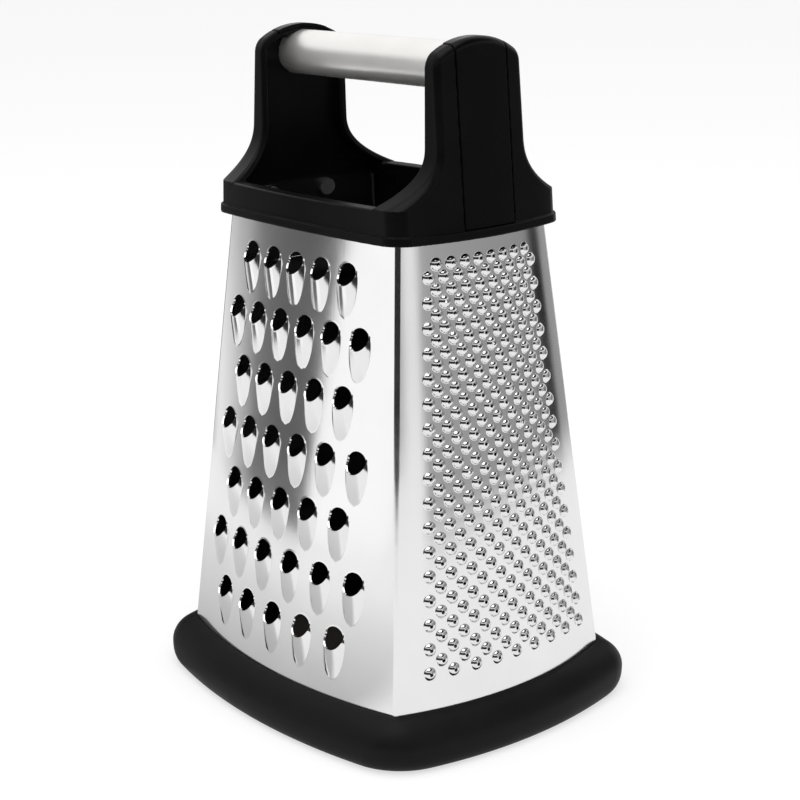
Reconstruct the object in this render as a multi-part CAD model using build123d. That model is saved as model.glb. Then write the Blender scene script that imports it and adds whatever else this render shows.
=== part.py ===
from build123d import *
import math
import os

# A four-sided box grater: bowed steel panels between a soft base ring and a
# plastic collar with two uprights that carry a steel handle tube.
# Millimetres, +Z up, origin on the table under the middle of the grater,
# +X towards the zesting panel, -Y towards the coarse panel.

# Overall
total_height = 254.0
overrun = 20.0

# Steel body: chord corners and bows of its outer face at two levels
lower_level = 18.7
lower_half_x = 63.4
lower_half_y = 51.0
lower_bow_x = 9.75
lower_bow_y = 9.6
upper_level = 183.9
upper_half_x = 49.8
upper_half_y = 35.3
upper_bow_x = 6.4
upper_bow_y = 3.15
corner_bend_radius = 2.4
sheet_thickness = 0.6
steel_foot_level = 6.0
steel_top_level = 192.0

# Coarse teeth
coarse_top_row_level = 172.3
coarse_row_pitch = 21.86
coarse_row_counts = (5, 6, 5, 6, 5, 6, 5)
coarse_top_pitch = 14.54
coarse_bottom_pitch = 17.14
coarse_top_shift = -2.22
coarse_bottom_shift = -0.14
coarse_half_width = 5.25
coarse_rise = 3.0
coarse_tail_length = 16.5
coarse_mouth_height = 3.8
coarse_mouth_half_width = 4.5
coarse_lip_sag = 4.4

# Zesting burrs
burr_top_row_level = 177.15
burr_row_pitch = 4.397
burr_row_count = 34
burr_short_row = 8
burr_top_pitch = 5.9
burr_bottom_pitch = 9.37
burr_top_shift = -1.08
burr_bottom_shift = 0.24
burr_base_diameter = 5.1
burr_rise = 1.7
burr_hole_diameter = 1.3

# Fine teeth
fine_top_row_level = 172.9
fine_row_pitch = 15.0
fine_row_count = 10
fine_short_row = 6
fine_top_pitch = 10.6
fine_bottom_pitch = 13.2
fine_shift = 0.0
fine_half_width = 3.3
fine_rise = 1.9
fine_tail_length = 7.5
fine_mouth_height = 2.1
fine_mouth_half_width = 2.8
fine_lip_sag = 2.1

# Slicing slots
slot_top_level = 160.0
slot_pitch = 37.0
slot_count = 4
slot_length = 54.0
slot_height = 1.5
slot_lip_rise = 2.8
slot_lip_run = 9.0

# Base ring: levels of its outline and how far each stands out from the steel
ring_height = 18.7
ring_level_shares = (0.0, 0.07, 0.24, 0.5, 0.74, 0.92, 1.0)
ring_belly_offset = 8.3
ring_offset_shares = (0.42, 0.68, 0.92, 1.0, 0.82, 0.45, 0.1)
ring_foot_corner = 20.0
ring_top_corner = 4.0
ring_inner_lap = 2.6

# Stiff hoop in the ring: a wall inside the steel and a flange under its edge
hoop_wall = 1.8
hoop_flange_thickness = 2.0
hoop_flange_reach = 2.2
hoop_top_level = 14.5

# Collar
rim_bottom_level = 184.9
rim_top_level = 188.1
rim_step = 1.1
ledge_level = 197.0
ledge_width = 6.0
edge_radius = 0.8
collar_half_x = 53.1
collar_half_y = 38.8
collar_bow_x = 6.48
collar_bow_y = 2.87
collar_corner_radius = 5.4
inner_corner_radius = 4.0
tongue_bottom_level = 186.6
tongue_half_length = 34.0

# Uprights: half depths across the grater, dome and the gap between them
upright_top_half_x = 48.6
upright_half_depth = 20.4
upright_top_half_depth = 20.1
upright_top_bow_x = 6.0
sweep_top_level = 218.0
sweep_power = 2.5
sweep_shares = (0.0, 0.06, 0.14, 0.25, 0.4, 0.58, 0.78, 1.0)
dome_foot_level = 246.3
dome_edge_radius = 5.0
dome_power = 1.2
dome_turn_shares = (0.0, 0.2, 0.4, 0.6, 0.8, 0.95)
crease_radius = 2.6
dome_crease_radius = 2.8
gap_half_x = 47.3
gap_waist_level = 215.0
gap_sweep_x = 45.6
gap_sweep_level = 205.0
gap_foot_x = 41.0
upright_wall = 3.0

# Covers let into the uprights
cover_thickness = 1.4
cover_half_width = 11.6
cover_groove = 0.45

# Handle tube and its seats in the uprights
tube_radius = 8.54
tube_wall = 0.8
tube_axis_level = 243.07
tube_half_length = 52.6
fit_gap = 0.05
steel_fit_gap = 0.1

# Tube plugs and their screws
plug_length = 16.0
tube_screw_radius = 1.5
tube_screw_length = 12.0
tube_screw_head_radius = 3.6
tube_screw_head_height = 0.8
tube_screw_head_inset = 0.95
drive_radius = 1.2
drive_depth = 0.5

# Screws that hold the collar to the steel
collar_screw_level = 188.6
collar_screw_spread = 14.0
collar_screw_radius = 1.4
collar_screw_head_radius = 3.3
collar_screw_head_height = 1.7
collar_screw_length = 3.4


def between(start, end, share):
    return start + (end - start) * share


def body_size(level):
    """Half sizes and bows of the steel body's outer face at a level."""
    share = (level - lower_level) / (upper_level - lower_level)
    return (
        between(lower_half_x, upper_half_x, share),
        between(lower_half_y, upper_half_y, share),
        between(lower_bow_x, upper_bow_x, share),
        between(lower_bow_y, upper_bow_y, share),
    )


def handle_size(level):
    """Half sizes and bows of the collar's outer face at a level."""
    share = (level - rim_top_level) / (total_height - rim_top_level)
    return (
        between(collar_half_x, upright_top_half_x, share),
        collar_half_y,
        between(collar_bow_x, upright_top_bow_x, share),
        collar_bow_y,
    )


def bowed_face(size, level, offset, radius):
    """A rectangle with bowed sides and rounded corners, grown by the offset."""
    half_x, half_y, bow_x, bow_y = size
    x = half_x + offset
    y = half_y + offset
    outline = Wire(
        [
            ThreePointArc((-x, -y, level), (0, -y - bow_y, level), (x, -y, level)),
            ThreePointArc((x, -y, level), (x + bow_x, 0, level), (x, y, level)),
            ThreePointArc((x, y, level), (0, y + bow_y, level), (-x, y, level)),
            ThreePointArc((-x, y, level), (-x - bow_x, 0, level), (-x, -y, level)),
        ]
    )
    face = Face(outline)
    if radius > 0:
        face = face.fillet_2d(radius, face.vertices())
    return face


def body_block(low, high, offset, radius):
    faces = [bowed_face(body_size(z), z, offset, radius) for z in (low, high)]
    return Solid.make_loft([face.outer_wire() for face in faces], ruled=True)


def handle_block(low, high, offset, radius):
    faces = [bowed_face(handle_size(z), z, offset, radius) for z in (low, high)]
    return Solid.make_loft([face.outer_wire() for face in faces], ruled=True)


def face_point(side, across, level):
    """Point on the steel's outer face; side turns the -Y face by quarter turns."""
    half_x, half_y, bow_x, bow_y = body_size(level)
    half, depth, bow = (half_x, half_y, bow_y) if side % 2 == 0 else (half_y, half_x, bow_x)
    arc_radius = (half**2 + bow**2) / (bow + bow)
    out = depth + bow - arc_radius + math.sqrt(arc_radius**2 - across**2)
    local = Vector(across, -out, level)
    return local.rotate(Axis.Z, 90 * side)


def face_plane(side, across, level):
    """Plane on the steel's outer face: x across, y up the face, z outwards."""
    here = face_point(side, across, level)
    step = sheet_thickness
    right = face_point(side, across + step, level) - face_point(side, across - step, level)
    up = face_point(side, across, level + step) - face_point(side, across, level - step)
    normal = right.cross(up)
    return Plane(origin=here, x_dir=right, z_dir=normal)


def corner_plane(side):
    """Plane through the middle of the bend at the right-hand edge of a side."""
    turn = 90 * side
    points = []
    for level in (lower_level, upper_level):
        half_x, half_y = body_size(level)[:2]
        if side % 2 == 0:
            points.append(Vector(half_x, -half_y, level).rotate(Axis.Z, turn))
        else:
            points.append(Vector(half_y, -half_x, level).rotate(Axis.Z, turn))
    inwards = Vector(-points[0].X, -points[0].Y, 0)
    normal = (points[1] - points[0]).cross(inwards)
    return Plane(origin=points[0], z_dir=normal)


def plain_panel(side):
    """One quarter of the thin steel body, cut at the middle of its corner bends."""
    outer = body_block(steel_foot_level, steel_top_level, 0, corner_bend_radius)
    inner_radius = corner_bend_radius - sheet_thickness
    inner = body_block(
        steel_foot_level - overrun, steel_top_level + overrun, -sheet_thickness, inner_radius
    )
    panel = outer - inner - collar_screw_holes(collar_screw_radius + fit_gap)
    middle = face_point(side, 0, upper_level)
    for neighbour in (side, side - 1):
        plane = corner_plane(neighbour % 4)
        inside = plane.to_local_coords(middle).Z > 0
        panel = split(panel, bisect_by=plane, keep=Keep.TOP if inside else Keep.BOTTOM)
    return panel.solids()[0]


def tooth(half_width, rise, tail, mouth_half_width, mouth_height, lip_sag):
    """Scoop shell and the cutter for its opening, on a flat face at z = 0."""
    radius = (half_width**2 + rise**2) / (rise + rise)
    depth = radius - rise
    length = tail / math.sqrt(1 - (depth / radius) ** 2)

    def egg(grow):
        profile = make_face(
            [
                EllipticalCenterArc((0, 0), radius + grow, length + grow, start_angle=-90, arc_size=90),
                Line((radius + grow, 0), (0, 0)),
                Line((0, 0), (0, -length - grow)),
            ]
        )
        return Pos(0, 0, -depth) * revolve(profile, Axis.Y, 360)

    floor = Pos(0, 0, -sheet_thickness / 2) * Box(
        total_height, total_height, total_height, align=(Align.CENTER, Align.CENTER, Align.MIN)
    )
    scoop = (egg(0) - egg(-sheet_thickness)) & floor
    mouth = make_face(
        [
            EllipticalCenterArc((0, 0), mouth_half_width, mouth_height, start_angle=0, arc_size=180),
            EllipticalCenterArc((0, 0), mouth_half_width, lip_sag, start_angle=180, arc_size=180),
        ]
    )
    hole = extrude(mouth, amount=overrun, both=True)
    return scoop - hole, egg(-sheet_thickness), hole


def burr():
    """Pierced dome shell and the ball that hollows it, on a flat face at z = 0."""
    half = burr_base_diameter / 2
    radius = (half**2 + burr_rise**2) / (burr_rise + burr_rise)
    depth = radius - burr_rise
    floor = Pos(0, 0, -sheet_thickness / 2) * Box(
        overrun, overrun, overrun, align=(Align.CENTER, Align.CENTER, Align.MIN)
    )
    ball = Pos(0, 0, -depth) * Sphere(radius)
    core = Pos(0, 0, -depth) * Sphere(radius - sheet_thickness)
    pin = Cylinder(burr_hole_diameter / 2, overrun)
    dome = ((ball - core) & floor) - pin
    return dome, core


def row_places(count, pitch):
    return [(index - (count - 1) / 2) * pitch for index in range(count)]


def placed(shape, plane):
    return shape.moved(Location(plane))


def toothed_panel(side, places, parts):
    """A panel with its openings cut and its raised teeth joined on."""
    panel = plain_panel(side)
    raised, cutters = parts
    planes = [face_plane(side, across, level) for across, level in places]
    holes = [placed(cutter, plane) for plane in planes for cutter in cutters]
    teeth = [placed(raised, plane) for plane in planes]
    panel = panel.cut(*holes)
    return panel.fuse(*teeth)


def staggered(row_counts, top_level, row_pitch, pitches, shifts):
    """Places of the teeth; pitch and sideways shift run from the top row to the bottom."""
    places = []
    last = len(row_counts) - 1
    for row, count in enumerate(row_counts):
        pitch = between(*pitches, row / last)
        shift = between(*shifts, row / last)
        level = top_level - row * row_pitch
        places += [(across + shift, level) for across in row_places(count, pitch)]
    return places


def coarse_panel():
    scoop, core, hole = tooth(
        coarse_half_width,
        coarse_rise,
        coarse_tail_length,
        coarse_mouth_half_width,
        coarse_mouth_height,
        coarse_lip_sag,
    )
    places = staggered(
        coarse_row_counts,
        coarse_top_row_level,
        coarse_row_pitch,
        (coarse_top_pitch, coarse_bottom_pitch),
        (coarse_top_shift, coarse_bottom_shift),
    )
    return toothed_panel(0, places, (scoop, (core, hole)))


def zester_panel():
    dome, core = burr()
    counts = [burr_short_row + row % 2 for row in range(burr_row_count)]
    places = staggered(
        counts,
        burr_top_row_level,
        burr_row_pitch,
        (burr_top_pitch, burr_bottom_pitch),
        (burr_top_shift, burr_bottom_shift),
    )
    return toothed_panel(1, places, (dome, (core,)))


def fine_panel():
    scoop, core, hole = tooth(
        fine_half_width,
        fine_rise,
        fine_tail_length,
        fine_mouth_half_width,
        fine_mouth_height,
        fine_lip_sag,
    )
    counts = [fine_short_row + row % 2 for row in range(fine_row_count)]
    places = staggered(
        counts,
        fine_top_row_level,
        fine_row_pitch,
        (fine_top_pitch, fine_bottom_pitch),
        (fine_shift, fine_shift),
    )
    return toothed_panel(2, places, (scoop, (core, hole)))


def slot_scoop(level, grow):
    """Ramp under one slicing slot, from within the sheet out to its lip."""
    root = grow - sheet_thickness / 2
    rise = (slot_lip_rise + sheet_thickness / 2) / slot_lip_run
    spare = 0 if grow == 0 else slot_height
    foot = level - slot_lip_run
    faces = [
        bowed_face(body_size(z), z, root + (z - foot) * rise, corner_bend_radius)
        for z in (foot, level + spare)
    ]
    ramp = Solid.make_loft([face.outer_wire() for face in faces], ruled=True)
    width = slot_length + grow + grow
    window = Pos(0, 0, foot) * Box(
        total_height, width, total_height, align=(Align.MAX, Align.CENTER, Align.MIN)
    )
    return ramp & window


def slicer_panel():
    panel = plain_panel(3)
    inner_radius = corner_bend_radius - sheet_thickness
    inside = body_block(steel_foot_level, steel_top_level, -sheet_thickness, inner_radius)
    for index in range(slot_count):
        level = slot_top_level - index * slot_pitch
        inner = slot_scoop(level, -sheet_thickness)
        lip = slot_scoop(level, 0) - inner - inside
        panel = (panel - inner) + lip
    return panel


def base_ring():
    wires = []
    for level_share, offset_share in zip(ring_level_shares, ring_offset_shares):
        level = ring_height * level_share
        radius = between(ring_foot_corner, ring_top_corner, level_share)
        offset = ring_belly_offset * offset_share
        face = bowed_face(body_size(level), level, offset, radius + offset)
        wires.append(face.outer_wire())
    ring = Solid.make_loft(wires)
    flange_level = steel_foot_level - hoop_flange_thickness
    flange_radius = corner_bend_radius + hoop_flange_reach
    ring = ring - body_block(steel_foot_level, ring_height + overrun, 0, corner_bend_radius)
    ring = ring - body_block(flange_level, steel_foot_level, hoop_flange_reach, flange_radius)
    return ring - body_block(-overrun, flange_level, -ring_inner_lap, inner_corner_radius)


def base_hoop():
    flange_level = steel_foot_level - hoop_flange_thickness
    flange_radius = corner_bend_radius + hoop_flange_reach
    flange = body_block(flange_level, steel_foot_level, hoop_flange_reach, flange_radius)
    bend = corner_bend_radius - sheet_thickness
    lining = -sheet_thickness - steel_fit_gap
    wall = body_block(steel_foot_level, hoop_top_level, lining, bend)
    inset = sheet_thickness + hoop_wall
    bore = body_block(-overrun, hoop_top_level + overrun, -inset, inner_corner_radius)
    return (flange + wall) - bore


def upright_wire(level, half_depth, inset, radius):
    """Outline of both uprights at a level, as if the gap between them were filled."""
    half_x, half_y, bow_x, _ = handle_size(level)
    arc_radius = (half_y**2 + bow_x**2) / (bow_x + bow_x)
    corner_bow = arc_radius - math.sqrt(arc_radius**2 - half_depth**2)
    corner_x = half_x + bow_x - corner_bow
    bow_y = collar_bow_y * half_depth / collar_half_y
    face = bowed_face((corner_x, half_depth, corner_bow, bow_y), level, -inset, radius)
    return face.outer_wire()


def sweep_block(inset):
    """The uprights from the collar's ledge to the foot of their domes."""
    wires = []
    for share in sweep_shares:
        level = between(ledge_level, sweep_top_level, share)
        rest = (1 - share) ** sweep_power
        half_depth = between(upright_half_depth, collar_half_y, rest)
        radius = between(crease_radius, collar_corner_radius, rest)
        wires.append(upright_wire(level, half_depth, inset, max(radius - inset, edge_radius)))
    neck = Solid.make_loft(wires)
    radius = max(dome_crease_radius - inset, edge_radius)
    top_wire = upright_wire(dome_foot_level, upright_top_half_depth, inset, radius)
    return neck + Solid.make_loft([wires[-1], top_wire], ruled=True)


def dome_block(inset):
    """The rounded tops of the uprights."""
    wires = []
    last = math.sin(math.radians(90 * dome_turn_shares[-1]))
    for share in dome_turn_shares:
        turn = math.radians(90 * share)
        level = between(dome_foot_level, total_height - inset, math.sin(turn) / last)
        half_depth = (upright_top_half_depth - inset) * math.cos(turn) ** dome_power
        edge = inset + dome_edge_radius * (1 - math.cos(turn))
        radius = min(max(dome_crease_radius - inset, edge_radius), half_depth / 2)
        wires.append(upright_wire(level, half_depth + edge, edge, radius))
    return Solid.make_loft(wires)


def hand_gap():
    """Space between the uprights above the ledge, extruded front to back."""

    def side(sign):
        return [
            Line((sign * gap_half_x, total_height + overrun), (sign * gap_half_x, gap_waist_level)),
            ThreePointArc(
                (sign * gap_half_x, gap_waist_level),
                (sign * gap_sweep_x, gap_sweep_level),
                (sign * gap_foot_x, ledge_level),
            ),
        ]

    top = Line(
        (-gap_half_x, total_height + overrun), (gap_half_x, total_height + overrun)
    )
    floor = Line((-gap_foot_x, ledge_level), (gap_foot_x, ledge_level))
    face = make_face(side(1) + [floor] + side(-1) + [top])
    return extrude(Plane.XZ * face, amount=total_height, both=True)


def handle_skin(inset):
    """Outer form of the collar and uprights, without the rim."""
    collar = handle_block(rim_bottom_level, ledge_level, -inset, collar_corner_radius - inset)
    return collar + sweep_block(inset) + dome_block(inset)


def cover_window(margin):
    """Boxes that take in the covers' strip on both uprights."""
    width = 2 * (cover_half_width + margin)
    return Pos(0, 0, rim_top_level - margin) * Box(
        total_height, width, total_height, align=(Align.CENTER, Align.CENTER, Align.MIN)
    )


def along_x(radius, start, end):
    """Cylinder on the tube's axis line between two X values."""
    middle = (start + end) / 2
    return Pos(middle, 0, tube_axis_level) * Rot(0, 90, 0) * Cylinder(radius, abs(end - start))


def screw_seat_x():
    """X of the tube screws' head seats in the uprights' walls."""
    half_x, _, bow_x, _ = handle_size(tube_axis_level)
    return half_x + bow_x - cover_thickness - tube_screw_head_inset


def steel_space():
    """Room for the top of the steel body, with a little play."""
    low = rim_bottom_level - overrun
    return body_block(low, steel_top_level, steel_fit_gap, corner_bend_radius)


def collar_throat():
    """Opening of the collar, wider above the steel where the hollow uprights stand."""
    throat = handle_block(rim_bottom_level - overrun, ledge_level, -ledge_width, inner_corner_radius)
    wide = handle_block(steel_top_level, ledge_level, -upright_wall, inner_corner_radius)
    return throat + (wide & Box(total_height, 2 * (collar_half_y - ledge_width), 2 * total_height))


def tongues():
    """Two walls that reach down inside the steel on the front and the back."""
    lining = -sheet_thickness - steel_fit_gap
    block = body_block(tongue_bottom_level, steel_top_level, lining, inner_corner_radius)
    window = Box(2 * tongue_half_length, total_height, 2 * total_height)
    return (block - collar_throat()) & window


def tube_seat(form, sign):
    """Cut one upright's pocket for the tube's end and the holes for its screw."""
    wall_x = screw_seat_x()
    form = form - along_x(tube_radius + fit_gap, 0, sign * (tube_half_length + fit_gap))
    form = form - along_x(tube_screw_radius + fit_gap, 0, sign * total_height)
    head_room = along_x(tube_screw_head_radius + fit_gap, sign * wall_x, sign * (wall_x + overrun))
    return form - head_room


def handle_frame():
    form = handle_skin(0) - hand_gap()
    form = form - (cover_window(cover_groove) - handle_skin(cover_thickness))
    rim_corner = collar_corner_radius + rim_step
    form = form + handle_block(rim_bottom_level, rim_top_level, rim_step, rim_corner)
    form = form - steel_space() - collar_throat()
    form = form - (sweep_block(upright_wall) + dome_block(upright_wall))
    form = form + tongues()
    for sign in (-1, 1):
        form = tube_seat(form, sign)
    return form - collar_screw_holes(collar_screw_radius)


def cover(sign):
    skin = handle_skin(0) - hand_gap()
    strip = (skin & cover_window(0)) - handle_skin(cover_thickness)
    half = Box(
        total_height,
        total_height,
        2 * total_height,
        align=(Align.MIN if sign > 0 else Align.MAX, Align.CENTER, Align.CENTER),
    )
    return strip & half


def handle_tube():
    tube = along_x(tube_radius, -tube_half_length, tube_half_length)
    return tube - along_x(tube_radius - tube_wall, -total_height, total_height)


def tube_plug(sign):
    inner = tube_half_length - plug_length
    plug = along_x(tube_radius - tube_wall, sign * inner, sign * tube_half_length)
    return plug - along_x(tube_screw_radius + fit_gap, 0, sign * total_height)


def tube_screws():
    screws = []
    for sign in (-1, 1):
        seat_x = screw_seat_x()
        head_x = seat_x + tube_screw_head_height
        screw = along_x(tube_screw_head_radius, sign * seat_x, sign * head_x)
        screw = screw + along_x(
            tube_screw_radius, sign * seat_x, sign * (seat_x - tube_screw_length)
        )
        drive = along_x(drive_radius, sign * (head_x - drive_depth), sign * (head_x + overrun))
        screws.append(screw - drive)
    return Compound(screws)


def collar_screw_planes(side):
    spread = (-collar_screw_spread, collar_screw_spread)
    return [face_plane(side, across, collar_screw_level) for across in spread]


def collar_screw_shank(radius, plane):
    """Cylinder from just inside the steel out into the collar."""
    shank = Pos(0, 0, -sheet_thickness - steel_fit_gap) * Cylinder(
        radius, collar_screw_length, align=(Align.CENTER, Align.CENTER, Align.MIN)
    )
    return placed(shank, plane)


def collar_screw_holes(radius):
    planes = collar_screw_planes(1) + collar_screw_planes(3)
    return Compound([collar_screw_shank(radius, plane) for plane in planes])


def collar_screws():
    screws = []
    for plane in collar_screw_planes(1) + collar_screw_planes(3):
        head = Pos(0, 0, -sheet_thickness - steel_fit_gap) * Cylinder(
            collar_screw_head_radius,
            collar_screw_head_height,
            align=(Align.CENTER, Align.CENTER, Align.MAX),
        )
        screws.append(placed(head, plane) + collar_screw_shank(collar_screw_radius, plane))
    return Compound(screws)


PARTS = {
    "panel_coarse": coarse_panel,
    "panel_zester": zester_panel,
    "panel_fine": fine_panel,
    "panel_slicer": slicer_panel,
    "base_ring": base_ring,
    "base_hoop": base_hoop,
    "handle_frame": handle_frame,
    "cover_left": lambda: cover(-1),
    "cover_right": lambda: cover(1),
    "handle_tube": handle_tube,
    "tube_plug_left": lambda: tube_plug(-1),
    "tube_plug_right": lambda: tube_plug(1),
    "tube_screws": tube_screws,
    "collar_screws": collar_screws,
}


def main():
    os.makedirs("parts", exist_ok=True)
    for name, make in PARTS.items():
        export_step(make(), f"parts/{name}.step", write_pcurves=False)


if __name__ == "__main__":
    main()
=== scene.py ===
import math

import bpy
import numpy as np
from mathutils import Matrix, Vector
from mathutils.geometry import delaunay_2d_cdt


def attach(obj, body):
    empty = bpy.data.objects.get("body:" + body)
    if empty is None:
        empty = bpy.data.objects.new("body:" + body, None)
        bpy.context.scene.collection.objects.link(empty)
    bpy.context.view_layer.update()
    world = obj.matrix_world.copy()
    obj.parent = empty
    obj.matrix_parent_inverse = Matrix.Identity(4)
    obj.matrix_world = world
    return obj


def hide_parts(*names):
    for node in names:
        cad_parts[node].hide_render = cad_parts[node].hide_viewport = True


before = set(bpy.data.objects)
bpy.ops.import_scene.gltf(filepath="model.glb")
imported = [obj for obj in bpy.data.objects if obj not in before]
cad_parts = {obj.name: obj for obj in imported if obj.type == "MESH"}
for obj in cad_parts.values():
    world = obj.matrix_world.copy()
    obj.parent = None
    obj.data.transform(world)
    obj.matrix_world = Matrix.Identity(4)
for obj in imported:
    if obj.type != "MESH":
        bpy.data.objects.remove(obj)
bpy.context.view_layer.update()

scene = bpy.context.scene

# All shapes below are worked out in millimetres and turned into metres here.
MM = 0.001

# The steel body, as in the part's source
LOWER = dict(level=18.7, half_x=63.4, half_y=51.0, bow_x=9.75, bow_y=9.6)
UPPER = dict(level=183.9, half_x=49.8, half_y=35.3, bow_x=6.4, bow_y=3.15)
BEND = 2.4
SHEET = 0.6
STEEL_FOOT = 6.0
STEEL_TOP = 192.0


# Mesh helpers

def mesh_object(name, vertices, faces, loop_normals=None):
    """A mesh object from millimetre vertices, lists of faces and normals per corner."""
    mesh = bpy.data.meshes.new(name)
    points = np.asarray(vertices, float) * MM
    mesh.from_pydata(points.tolist(), [], [tuple(int(i) for i in face) for face in faces])
    mesh.update()
    for polygon in mesh.polygons:
        polygon.use_smooth = True
    if loop_normals is not None:
        mesh.normals_split_custom_set([tuple(n) for n in loop_normals])
    obj = bpy.data.objects.new(name, mesh)
    scene.collection.objects.link(obj)
    return obj


def unit(vectors):
    length = np.linalg.norm(vectors, axis=-1, keepdims=True)
    return vectors / np.maximum(length, 1e-12)


# The steel sheet's outer face as a function of arc length and level

def body_size(z):
    share = (z - LOWER["level"]) / (UPPER["level"] - LOWER["level"])
    return [LOWER[k] + (UPPER[k] - LOWER[k]) * share for k in ("half_x", "half_y", "bow_x", "bow_y")]


def arcs(side, z, grow=0.0, bend=BEND):
    """The face's arc, the bend's arc and the angles where they meet and end."""
    half_x, half_y, bow_x, bow_y = body_size(z)
    half_x, half_y = half_x + grow, half_y + grow
    half, depth, bow, next_bow = (
        (half_x, half_y, bow_y, bow_x) if side % 2 == 0 else (half_y, half_x, bow_x, bow_y)
    )
    radius = (half**2 + bow**2) / (2 * bow)
    next_radius = (depth**2 + next_bow**2) / (2 * next_bow)
    centre = depth + bow - radius
    next_centre = half + next_bow - next_radius
    a, b = radius - bend, next_radius - bend
    gap = np.sqrt(centre**2 + next_centre**2)
    along = (a**2 - b**2 + gap**2) / (2 * gap)
    off = np.sqrt(np.maximum(a**2 - along**2, 0))
    dx, dy = next_centre / gap, -centre / gap
    bend_x = along * dx + off * dy
    bend_y = centre + along * dy - off * dx
    start = np.arctan2(bend_x, bend_y - centre)
    end = np.arctan2(bend_x - next_centre, bend_y)
    return radius, centre, bend_x, bend_y, start, (start + end) / 2


def half_length(side, z):
    """Arc length from the middle of a face to the middle of its corner bend."""
    radius, _, _, _, start, middle = arcs(side, z)
    return radius * start + BEND * (middle - start)


def sheet_point(side, s, z, grow=0.0, bend=BEND):
    """Points of the outer face; s is the arc length from the face's middle line."""
    radius, centre, bend_x, bend_y, start, _ = arcs(side, z, grow, bend)
    size = np.abs(s)
    flat = size <= radius * start
    turn = np.where(flat, size / radius, start + (size - radius * start) / bend)
    x = np.where(flat, radius * np.sin(turn), bend_x + bend * np.sin(turn)) * np.sign(s)
    y = np.where(flat, centre + radius * np.cos(turn), bend_y + bend * np.cos(turn))
    angle = math.radians(90 * side)
    c, k = math.cos(angle), math.sin(angle)
    return np.stack([x * c + y * k, x * k - y * c, z], axis=-1)


def sheet_normal(side, s, z, step=0.01):
    across = sheet_point(side, s + step, z) - sheet_point(side, s - step, z)
    up = sheet_point(side, s, z + step) - sheet_point(side, s, z - step)
    return unit(np.cross(across, up))


def raised_point(side, s, z, height):
    return sheet_point(side, s, z) + sheet_normal(side, s, z) * height[..., None]


# Stamped features: each has a ring mesh in local coordinates and a height

def smooth_positive(h, k):
    return 0.5 * (h + np.sqrt(h * h + 4 * k * k))


def ease(x):
    x = np.clip(x, 0, 1)
    return x * x * (3 - 2 * x)


def ring_mesh(loops):
    """The points of matching closed loops and the quads between neighbours."""
    count = len(loops[0])
    quads = []
    for ring in range(len(loops) - 1):
        for i in range(count):
            j = (i + 1) % count
            a, b = ring * count, (ring + 1) * count
            quads.append((a + i, b + i, b + j, a + j))
    return np.concatenate(loops), quads, count


def loops_between(inner, outer, shares):
    return [inner + (outer - inner) * share for share in shares]


def tooth_outline(half_width, mouth_half_width, widest, tail, v):
    """Half width of a tooth's foot at v: full at its widest line, round at its tail."""
    t = np.clip((-widest - v) / (tail - widest), 0, 1)
    neck = np.clip((v + widest) / widest, 0, 1)
    near = half_width - (half_width - mouth_half_width - 0.35) * neck**2
    return np.where(v < -widest, half_width * np.sqrt(1 - t**2), near)


def tooth_feature(half_width, rise, tail, mouth_half_width, mouth_height, lip_sag, count):
    """A scooped tooth; its mouth is an oval whose lower half is the raised lip."""
    widest = 0.8 * lip_sag
    peak = 0.25 * lip_sag
    psi = np.linspace(0, 2 * np.pi, count, endpoint=False)
    c, k = np.cos(psi), np.sin(psi)
    mouth = np.stack([mouth_half_width * c, np.where(k > 0, mouth_height, lip_sag) * k], 1)

    def foot(margin):
        down = -(tail + margin) * (1 - np.abs(c)) ** 0.8
        at = down * tail / (tail + margin)
        wide = tooth_outline(half_width, mouth_half_width, widest, tail, at) + margin * np.abs(c)
        top_width = mouth_half_width + 0.35 + margin
        u = np.where(k > 0, top_width * c, wide * np.sign(c))
        return np.stack([u, np.where(k > 0, (mouth_height + 0.4 + margin) * k, down)], 1)

    inner_shares = (0, 0.03, 0.07, 0.13, 0.22, 0.34, 0.48, 0.62, 0.76, 0.88, 0.95, 1)
    loops = loops_between(mouth, foot(0), inner_shares)
    loops += loops_between(foot(0), foot(0.5), (0.3, 0.65, 1))

    def height(u, v):
        t = np.clip((-peak - v) / (tail - peak), 0, 1)
        crest = np.where(v < -peak, 1 - t**1.15, 1 - ease((v + peak) / (peak + 0.6 * mouth_height)))
        wide = np.maximum(tooth_outline(half_width, mouth_half_width, widest, tail, v), 0.2)
        section = 1 - np.minimum(np.abs(u) / wide, 1.2) ** 2.5
        h = smooth_positive(rise * crest * section, 0.05) - 0.05
        depth = np.where(v > 0, mouth_height, lip_sag)
        gap = (np.hypot(u / mouth_half_width, v / depth) - 1) * depth
        return np.maximum(h, 0) + 0.03 * np.exp(-((gap / 0.35) ** 2))

    return *ring_mesh(loops), height


def burr_feature(base, rise, hole, rings, count):
    """A pierced dome."""
    turn = np.linspace(0, 2 * np.pi, count, endpoint=False)
    ring = np.stack([np.cos(turn), np.sin(turn)], 1)
    half = base / 2
    radius = (half**2 + rise**2) / (2 * rise)
    depth = radius - rise
    shares = np.linspace(0, 1, rings)
    loops = loops_between(ring * hole / 2, ring * (half + 0.05), shares)

    def height(u, v):
        q = (u**2 + v**2) / radius**2
        h = radius * np.sqrt(np.maximum(1 - q, 0)) - depth
        h = smooth_positive(h, 0.05) - 0.05
        return np.maximum(h, 0)

    return *ring_mesh(loops), height


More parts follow.
